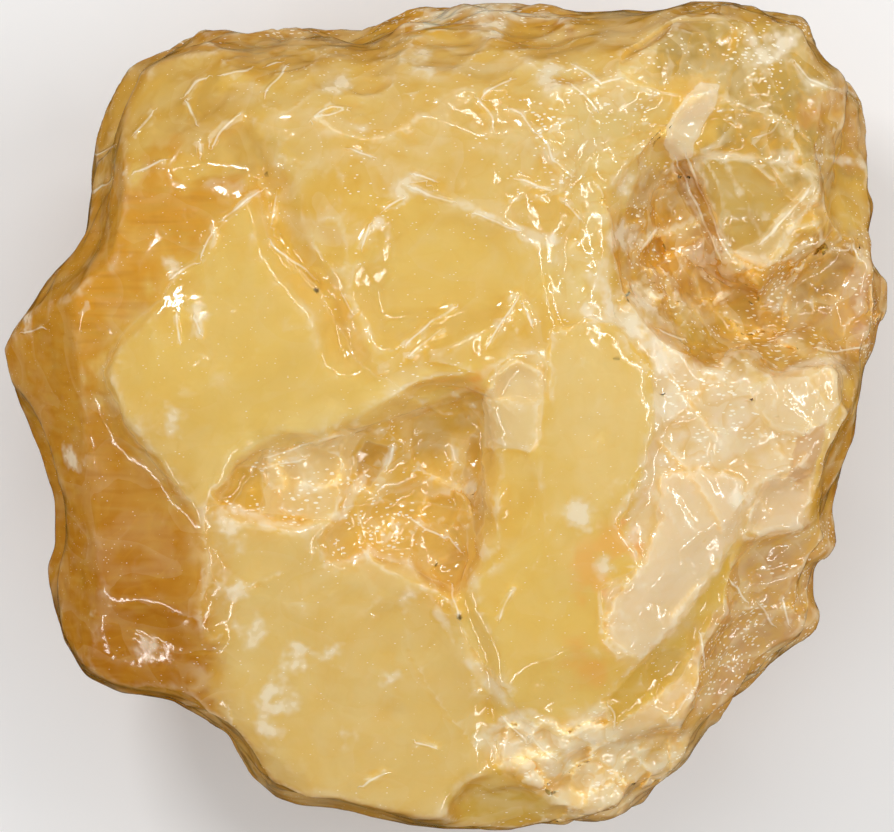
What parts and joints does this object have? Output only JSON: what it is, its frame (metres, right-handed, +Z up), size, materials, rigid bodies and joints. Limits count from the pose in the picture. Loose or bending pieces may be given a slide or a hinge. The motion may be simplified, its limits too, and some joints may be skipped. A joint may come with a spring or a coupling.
{
  "type": "raw honey calcite",
  "caption": "Chunky piece of raw honey calcite with flat fracture faces, ledges, a glassy hollow and a flat back to lie on.",
  "frame": {"origin": "on the surface that the stone lies on, under the middle of its bounding box", "axes": "+Z up, away from the flat back that it lies on and towards the broken front; +X towards the pink and cream side with the hollow; +Y towards the straight side with the thin brown ledges"},
  "size_m": [0.1, 0.0936, 0.0561],
  "materials": {
    "calcite": "waxy gloss, milky and translucent, honey yellow with amber, pink and cream zones"
  },
  "bodies": {
    "root": {"calcite_stone": "calcite"}
  },
  "joints": []
}
